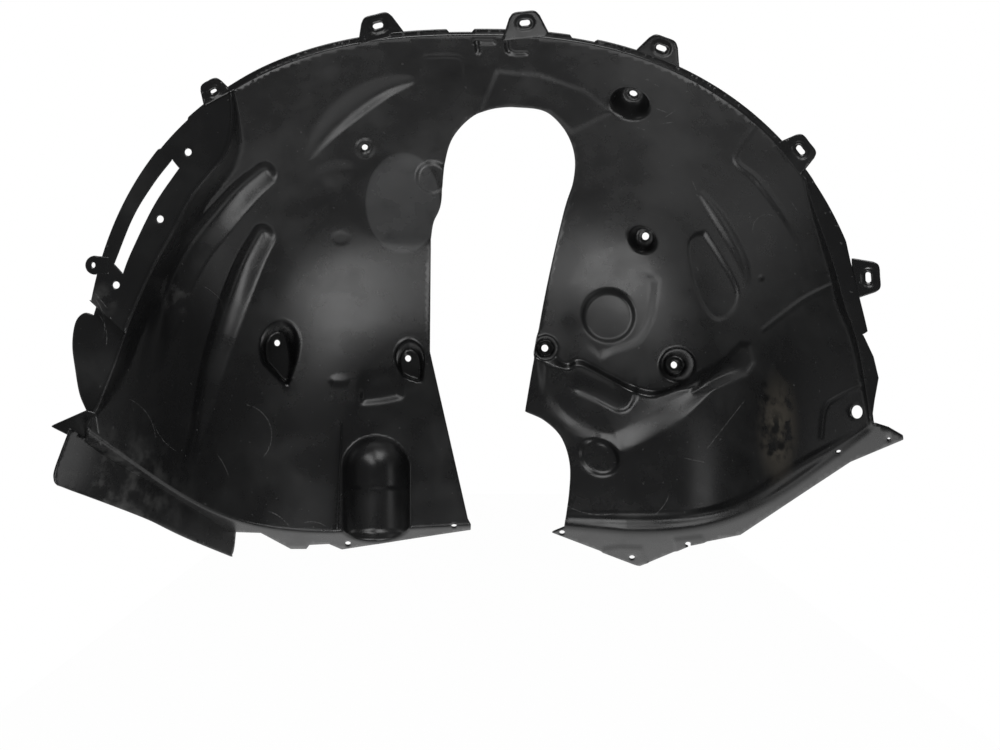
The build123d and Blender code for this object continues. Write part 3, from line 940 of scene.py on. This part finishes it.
flap_edge = smooth_line(
    spots(
        (1, -72), (0, -95), (0, -112), (3, -120), (8, -125), (20, -129.5), (60, -146), (150, -188),
        (228, -219.5), (235, -221), (239, -212), (242, -192),
    ),
    3.0,
)
flap_outline = closed(flap_edge, spots((120, -128)))
flat, triangles = filled(flap_outline, [], 3.2, 1.5)
lean = FLAP_LEAN * np.maximum(FLAP_TOP - flat[:, 1], 0) * (1 - ramp(flat[:, 0], 0, 120))
points = np.stack([FLAP_X + FLAP_SWING * flat[:, 0] - lean, flat[:, 0] + RIM_Y, flat[:, 1]], 1)
thick_sheet("flap", points, triangles, SHEET_THICK, (-1, 0.5, 0), spot_of(points))

# %% [markdown]
# ## Rim tabs
# Each tab is a rounded tongue that leans towards the eye, with a clip slot and a
# raised ring round it. They all come from one function, given where the slot is,
# which way the tab points, and its widths.

# %% Tabs
TAB_TIP, TAB_CORNER, TAB_LAP = 10.0, 5.0, 1.5


def closed_fine(*lines):
    return closed(*lines, step=1.4, least=0.3)


def slot_loop(length, wide, count=28):
    half = (length - wide) / 2
    angle = np.linspace(-math.pi / 2, math.pi / 2, count // 2)
    radius = wide / 2
    right = np.stack([half + radius * np.cos(angle), radius * np.sin(angle)], 1)
    return np.concatenate([right, -right])


def slot_gap(places, length, wide):
    half = (length - wide) / 2
    return np.hypot(np.maximum(np.abs(places[:, 0]) - half, 0), places[:, 1]) - wide / 2


def rim_tab(name, x, z, turn, base, tip, length, slot, slot_wide, lean=18):
    out = np.array([math.cos(math.radians(turn)), 0, math.sin(math.radians(turn))])
    along = np.array([out[2], 0, -out[0]])
    up = out * math.cos(math.radians(lean)) - np.array([0, math.sin(math.radians(lean)), 0])
    reach = length - TAB_TIP
    side = (base - tip) / 2 / (length + 3.5)
    half, shoulder = tip / 2, tip / 2 + side * TAB_CORNER
    outline = smooth_line(
        spots(
            (shoulder, TAB_TIP - TAB_CORNER), (half - 1.2, TAB_TIP - 1.2), (half - TAB_CORNER, TAB_TIP),
            (0, TAB_TIP), (TAB_CORNER - half, TAB_TIP), (1.2 - half, TAB_TIP - 1.2),
            (-shoulder, TAB_TIP - TAB_CORNER),
        ),
        1.2,
    )
    outline = closed_fine(outline, spots((-base / 2, -reach - TAB_LAP), (base / 2, -reach - TAB_LAP)))
    flat, triangles = filled(outline, [slot_loop(slot, slot_wide)], 1.5, 0.7)
    gap = slot_gap(flat, slot, slot_wide)
    ring = 1.3 * ramp(gap, 0.2, 1.0) * (1 - ramp(gap, 2.6, 4.0)) + 0.3 * (1 - ramp(gap, 0, 0.8))
    front = -np.cross(along, up)
    front = front if front[1] < 0 else -front
    middle = np.array([x, RIM_Y - 1.0, z]) + up * reach
    points = middle + flat[:, :1] * along + flat[:, 1:] * up + ring[:, None] * front
    thick_sheet(name, points, triangles, TAB_THICK, TO_BACK, spot_of(points))


TABS = (
    ("tab_top_left", -90.7, 300.2, 104, 43.7, 24.7, 21, 11.0, 6.0),
    ("tab_top", 47, 301.2, 96, 43.7, 24, 22.8, 11.0, 6.4, 27),
    ("tab_top_right", 171.5, 279.3, 70, 44, 23, 21.3, 11.0, 6.4, 27),
    ("tab_right_high", 297.8, 185.7, 38, 36, 24, 22, 11.0, 6.0),
    ("tab_right_low", 359.6, 71.3, 4, 37, 25, 22, 11.0, 6.0),
    ("tab_left_small", -246.5, 243.7, 118, 28, 18, 16, 7.0, 4.0),
)
for tab in TABS:
    rim_tab(*tab)

# %% [markdown]
# The round tab at the end of the air slot has a plain hole, and a thin rib stands on
# the wall beside the column. The rib could be a box, but its foot has to follow the
# curved wall, so it is a strip whose lower edge is laid on the face.

# %% Small round tab and the rib
small_outline = closed_fine(oval(-363, 84, 8, 8, count=40)[8:33], spots((-350, 76.5), (-350, 91)))
small_holes = [oval(-364.3, 84.1, 2.8, 3.6, count=24)]
flat, triangles = filled(small_outline, small_holes, 1.5, 0.7)
points = np.stack([flat[:, 0], np.full(len(flat), RIM_Y + 0.4), flat[:, 1]], 1)
thick_sheet("tab_small_round", points, triangles, SHEET_THICK, TO_BACK, spot_of(points))

RIB_LONG = 108
RIB_LINE = smooth_line(spots((341, 421), (339, 465), (336, 530)), 2.0)
rib_outline = closed_fine(spots((0, -2), (0, 0.5), (40, 4), (104, 6), (RIB_LONG, 5), (RIB_LONG, -2)))
flat, triangles = filled(rib_outline, [], 2.0, 0.9)
share = np.linspace(0, RIB_LONG, len(RIB_LINE))
rib_spots = np.stack([np.interp(flat[:, 0], share, RIB_LINE[:, n]) for n in range(2)], 1)
points = lift(rib_spots, face_depth(rib_spots) - flat[:, 1])
thick_sheet("rib", points, triangles, RIB_THICK, (1, 0, 0), spot_of(points))

# %% [markdown]
# ## Shader maths as Python
# A node tree is easier to read as a formula. This small class wraps one output
# socket. An operator on it adds a Math node, its one method adds a Math node that has
# no operator, and the function node adds any other kind.

# %% Wrapped sockets
class Wire:
    def __init__(self, tree, socket):
        self.tree = tree
        self.socket = socket

    def math(self, operation, *others):
        node = self.tree.nodes.new("ShaderNodeMath")
        node.operation = operation
        for entry, value in zip(node.inputs, (self,) + others):
            join(self.tree, entry, value)
        return Wire(self.tree, node.outputs[0])

    def __add__(self, other):
        return self.math("ADD", other)

    def __mul__(self, other):
        return self.math("MULTIPLY", other)

    def __sub__(self, other):
        return self.math("SUBTRACT", other)

    def __rsub__(self, other):
        return (self * -1) + other

    __radd__ = __add__
    __rmul__ = __mul__


def join(tree, entry, value):
    if isinstance(value, Wire):
        tree.links.new(value.socket, entry)
    else:
        entry.default_value = value


def node(tree, kind, settings=(), sockets=(), output=0):
    made = tree.nodes.new(kind)
    for name, value in dict(settings).items():
        setattr(made, name, value)
    for name, value in dict(sockets).items():
        join(tree, made.inputs[name], value)
    return Wire(tree, made.outputs[output])


def vector_maths(tree, operation, a, b, output=0):
    return node(tree, "ShaderNodeVectorMath", {"operation": operation}, {0: a, 1: b}, output)


def show(tree, surface, kind="ShaderNodeOutputMaterial"):
    output = tree.nodes.new(kind)
    tree.links.new(surface.socket, output.inputs["Surface"])


print("wires ready")

# %% [markdown]
# ## Black moulded plastic
# Polypropylene for such parts is nearly black with a satin gloss. The mould leaves a
# very fine grain, use leaves scratches and dull rubbed places, and dust settles into
# a grey film. Every layer is a mask between 0 and 1 that shifts colour and gloss.

# %% Masks of the plastic
def new_finish(name):
    material = bpy.data.materials.new(name)
    material.use_nodes = True
    tree = material.node_tree
    tree.nodes.clear()
    return material, tree


def step_between(tree, value, low, high, top=1.0):
    return node(
        tree, "ShaderNodeMapRange", {"interpolation_type": "SMOOTHSTEP"},
        {"Value": value, "From Min": low, "From Max": high, "To Min": 0.0, "To Max": top},
    )


def noise(tree, vector, scale, detail=3.0, rough=0.55):
    return node(
        tree, "ShaderNodeTexNoise", {},
        {"Vector": vector, "Scale": scale, "Detail": detail, "Roughness": rough},
    )


def at(x, y):
    return (x / PLACE_UNIT, y / PLACE_UNIT, 0)


def fade_out(tree, value, start, stop):
    return 1 - step_between(tree, value, start / PLACE_UNIT, stop / PLACE_UNIT)


def blot(tree, x, y, spot, radius, soft):
    away = vector_maths(tree, "DISTANCE", spot, at(x, y), 1)
    return fade_out(tree, away, radius - soft, radius + soft)


plastic, tree = new_finish("liner_plastic_satin")
body_place = node(tree, "ShaderNodeTexCoord", output=3)
spot = node(tree, "ShaderNodeAttribute", {"attribute_name": "place"}, output=1)
front = node(tree, "ShaderNodeAttribute", {"attribute_name": "front"}, output=2)
cloud = noise(tree, body_place, 9.0, 4.0)
film = noise(tree, body_place, 34.0, 5.0, 0.62)
speck = noise(tree, body_place, 420.0, 2.0)
grain = noise(tree, body_place, 1500.0, 2.0)
dust = step_between(tree, cloud + film * 0.6, 0.70, 1.25)
print("mask nodes", len(tree.nodes))

# %% [markdown]
# ## Scratches
# Handling leaves thin pale lines, some straight and most of them bent. They could be
# painted on a picture, but here each is a distance: to a line, or to a circle
# through three points. A fine noise breaks them up, as on the real part.

# %% Scratches
SCRATCH_END = 4


def thin_line(tree, beside, half):
    return fade_out(tree, beside.math("ABSOLUTE"), half * 0.3, half)


def scratch(tree, spot, ax, ay, bx, by, half):
    run = np.array([bx - ax, by - ay])
    length = np.linalg.norm(run)
    run = run / length
    from_a = vector_maths(tree, "SUBTRACT", spot, at(ax, ay))
    along = vector_maths(tree, "DOT_PRODUCT", from_a, (run[0], run[1], 0), 1)
    beside = vector_maths(tree, "DOT_PRODUCT", from_a, (-run[1], run[0], 0), 1)
    ends = step_between(tree, along, 0, SCRATCH_END / PLACE_UNIT)
    ends = ends * fade_out(tree, along, length - SCRATCH_END, length)
    return thin_line(tree, beside, half) * ends


def circle_through(a, b, c):
    a, b, c = np.array(a), np.array(b), np.array(c)
    rows = 2.0 * np.array([b - a, c - a])
    centre = np.linalg.solve(rows, [b @ b - a @ a, c @ c - a @ a])
    return centre, np.linalg.norm(centre - a)


def curved_scratch(tree, spot, a, b, c, half):
    (x, y), radius = circle_through(a, b, c)
    away = vector_maths(tree, "DISTANCE", spot, at(x, y), 1)
    near_middle = blot(tree, b[0], b[1], spot, math.dist(a, b), 3)
    return thin_line(tree, away - radius / PLACE_UNIT, half) * near_middle


SCRATCHES = (
    (745, 400, 706, 450, 0.56), (684, 458, 708, 463, 0.56), (655, 108, 668, 113, 0.56),
    (664, 118, 676, 110, 0.50), (660, 124, 674, 122, 0.56), (636, 127, 648, 131, 0.50),
    (652, 83, 660, 87, 0.50), (94, 292, 108, 309, 0.62), (692, 180, 697, 192, 0.56),
    (790, 200, 798, 212, 0.50),
)
CURVED_SCRATCHES = (
    ((246.7, 404.7), (270, 425), (269.7, 446.6), 0.62), ((131, 400), (148, 415), (154, 449), 0.45),
    ((269.5, 511.5), (280, 517), (289, 526), 0.75), ((100, 316), (106, 330), (105, 350), 0.56),
    ((96, 300), (104, 318), (100, 345), 0.50), ((205, 287), (218, 297), (227, 310), 0.45),
    ((155, 426), (163, 440), (173, 449), 0.45), ((305, 522.5), (315, 522), (326, 526.5), 0.56),
    ((217.6, 455), (224, 465), (228, 474), 0.45), ((753, 232), (758, 218), (774, 216), 0.50),
    ((566, 505), (588, 513.5), (611, 514), 0.62), ((657, 513), (664, 505), (669, 495), 0.56),
)
lines = [scratch(tree, spot, *line) for line in SCRATCHES]
lines += [curved_scratch(tree, spot, *line) for line in CURVED_SCRATCHES]
marks = sum(lines[1:], lines[0]) * front * step_between(tree, speck, 0.35, 0.6)
print("nodes with scratches", len(tree.nodes))

# %% [markdown]
# ## Dust, stain, a painted highlight and colour
# Dirty water has dried to a brown stain with dark blots on the right, a painted
# highlight lightens the facet left of the opening, and hands left dull smudges on
# the flap and the flange. Each is a soft round mask, squeezed to its length and
# broken up by noise.
# The colours are laid one over the other, and the dull layers also raise roughness.

# %% Stain, dust dots, painted facet highlight and smudges
STAIN_SQUEEZE, FACET_SQUEEZE = 0.36, 0.74
DARK_BLOTS = ((775, 430, 4.5), (781, 446, 4), (770, 453, 3), (766, 398, 3.5), (764, 384, 3))
SMUDGES = ((110, 490, 50, 40), (102, 300, 12, 9), (182, 292, 16, 12))

tall = vector_maths(tree, "MULTIPLY", spot, (1, STAIN_SQUEEZE, 1))
stain = blot(tree, 778, 430 * STAIN_SQUEEZE, tall, 15, 10) * step_between(tree, film, 0.38, 0.52) * front
drips = blot(tree, 776, 436 * STAIN_SQUEEZE, tall, 8, 5) * step_between(tree, film, 0.54, 0.57)
for x, y, wide in DARK_BLOTS:
    drips = drips + blot(tree, x, y, spot, wide, 2) * step_between(tree, film, 0.36, 0.44)
drips = drips * front
# Painted highlight: a lighter grey patch, squeezed and broken up by noise, on the facet left of the opening.
low = vector_maths(tree, "MULTIPLY", spot, (1, FACET_SQUEEZE, 1))
facet_painted_highlight = blot(tree, 403, 203 * FACET_SQUEEZE, low, 37, 1.5) * step_between(tree, film, 0.02, 0.48) * front
dots = step_between(tree, noise(tree, body_place, 230.0, 1.0), 0.75, 0.785) * front
smudges = [blot(tree, x, y, spot, radius, soft) for x, y, radius, soft in SMUDGES]
smudge = sum(smudges[1:], smudges[0]) * step_between(tree, film, 0.44, 0.66) * front
print("nodes with stains", len(tree.nodes))

# %% Colour and gloss
def mix_colour(tree, factor, a, b):
    return node(
        tree, "ShaderNodeMix", {"data_type": "RGBA", "clamp_factor": True},
        {"Factor": factor, 6: a, 7: b}, 2,
    )


LAYERS = (
    (dust * 0.5, (0.024, 0.0245, 0.0245, 1)),
    # painted highlight on the facet left of the opening
    (facet_painted_highlight * 0.8, (0.06, 0.061, 0.062, 1)),
    (stain * 0.65, (0.075, 0.066, 0.052, 1)),
    (drips, (0.003, 0.003, 0.003, 1)),
    (dots * 0.4, (0.10, 0.10, 0.10, 1)),
    (smudge * 0.5, (0.09, 0.09, 0.088, 1)),
    (marks * 0.5, (0.14, 0.14, 0.14, 1)),
)
colour = mix_colour(tree, cloud, (0.005, 0.0051, 0.0054, 1), (0.009, 0.0091, 0.0094, 1))
for share, shade in LAYERS:
    colour = mix_colour(tree, share, colour, shade)
gloss = 0.12 + cloud * 0.16 + film * 0.14 + dust * 0.10 + marks * 0.2 + stain * 0.15 + smudge * 0.15
bump = node(
    tree, "ShaderNodeBump", {}, {"Strength": 0.10, "Distance": 0.0004, "Height": grain * 0.6 + speck * 0.4}
)
surface = node(
    tree, "ShaderNodeBsdfPrincipled", {},
    {"Base Color": colour, "Roughness": gloss, "Normal": bump, "IOR": 1.49},
)
show(tree, surface)
print("plastic nodes", len(tree.nodes))

# %% Put the plastic on every piece
liner_pieces = [
    piece for piece in bpy.context.scene.objects
    if piece.type == "MESH" and "place" in piece.data.attributes
]
for piece in liner_pieces:
    piece.data.materials.clear()
    piece.data.materials.append(plastic)
print("pieces", len(liner_pieces))

# %% [markdown]
# ## Floor and light
# The part is shown on plain white, as a shop would show it. Black plastic shows
# little colour of its own: nearly all that the eye sees on it is a dull reflection.
# So there is a white surround behind and below the part, which the lips mirror, and
# a dim room in front. The pale floor starts under the wall, because a floor that
# went on under the eye would be mirrored by the whole roof of the bowl.

# %% Floor
FLOOR_Z, FLOOR_HALF, FLOOR_FRONT, FLOOR_BACK = -0.6, 0.8, -0.03, 5
WHITE = (1, 1, 1, 1)

floor_finish, floor_tree = new_finish("floor_paint")
floor_place = node(floor_tree, "ShaderNodeTexCoord", output=3)
floor_shade = mix_colour(
    floor_tree, noise(floor_tree, floor_place, 3.0), (0.86, 0.86, 0.86, 1), (0.9, 0.9, 0.9, 1)
)
floor_surface = node(
    floor_tree, "ShaderNodeBsdfPrincipled", {}, {"Base Color": floor_shade, "Roughness": 0.8}
)
floor_white = node(floor_tree, "ShaderNodeEmission", {}, {"Color": WHITE, "Strength": 1.0})
camera_ray, glossy_ray, clear_ray = [
    node(floor_tree, "ShaderNodeLightPath", output=name)
    for name in ("Is Camera Ray", "Is Glossy Ray", "Is Transmission Ray")
]
mirror_ray = (glossy_ray + clear_ray).math("MINIMUM", 1.0)
show(floor_tree, node(
    floor_tree, "ShaderNodeMixShader", {},
    {0: camera_ray * 0.985 + mirror_ray * 0.9, 1: floor_surface, 2: floor_white},
))
floor_mesh = bpy.data.meshes.new("floor")
floor_corners = [
    (-FLOOR_HALF, FLOOR_FRONT, FLOOR_Z), (FLOOR_HALF, FLOOR_FRONT, FLOOR_Z),
    (FLOOR_HALF, FLOOR_BACK, FLOOR_Z), (-FLOOR_HALF, FLOOR_BACK, FLOOR_Z),
]
floor_mesh.from_pydata(floor_corners, [], [(0, 1, 2, 3)])
floor_mesh.materials.append(floor_finish)
floor = bpy.data.objects.new("floor", floor_mesh)
bpy.context.scene.collection.objects.link(floor)
print("floor at", FLOOR_Z, "m")

# %% [markdown]
# ## Surround
# A white room all round would wash out every dark face of the bowl. So the surround
# is bright only well behind the part and dim elsewhere, and the picture's own
# background is white because the camera's own rays see white.

# %% World
DIM, BRIGHTER = 0.13, 0.86

world = bpy.data.worlds.new("studio")
bpy.context.scene.world = world
world.use_nodes = True
world_tree = world.node_tree
world_tree.nodes.clear()
toward = node(world_tree, "ShaderNodeTexCoord", output=0)
behind = node(world_tree, "ShaderNodeSeparateXYZ", {}, {0: toward}, 1)
level = DIM + step_between(world_tree, behind, 0.35, 0.8, BRIGHTER)
camera_ray = node(world_tree, "ShaderNodeLightPath", output="Is Camera Ray")
direct = node(world_tree, "ShaderNodeBackground", {}, {"Color": WHITE, "Strength": 1.0})
around = node(world_tree, "ShaderNodeBackground", {}, {"Color": WHITE, "Strength": level})
mixed = node(world_tree, "ShaderNodeMixShader", {}, {0: camera_ray, 1: around, 2: direct})
show(world_tree, mixed, "ShaderNodeOutputWorld")
print("world ready")

# %% [markdown]
# ## Lamps
# Two low strip lamps in front of the part give the soft shine on the wall and the
# bevels, one for each side of the opening. A broad lamp from above and a weak one
# from the left fill in the rest.

# %% Lamps
def soft_lamp(name, place, target, wide, high, watts):
    data = bpy.data.lights.new(name, "AREA")
    data.shape = "RECTANGLE"
    data.size, data.size_y = wide, high
    data.energy = watts
    lamp = bpy.data.objects.new(name, data)
    lamp.location = place
    lamp.rotation_euler = (Vector(target) - Vector(place)).to_track_quat("-Z", "Y").to_euler()
    bpy.context.scene.collection.objects.link(lamp)


LAMPS = (
    ("low_strip_right", (0.22, -0.94, -0.62), (0.22, -0.94, 1), 0.33, 1.12, 4.7),
    ("low_strip_left", (-0.24, -0.53, -0.62), (-0.24, -0.53, 1), 0.28, 0.5, 1.8),
    ("top_lamp", (0, -1.2, 1.7), (0, 0, 0.05), 1.2, 0.8, 32),
    ("side_lamp", (-1.6, -1.2, -0.2), (0, 0, -0.1), 0.6, 0.6, 1.5),
)
for lamp in LAMPS:
    soft_lamp(*lamp)
print("lamps", len(LAMPS))

# %% [markdown]
# ## Last update
# The view layer is brought up to date once more at the end.

# %% Update the view layer
bpy.context.view_layer.update()
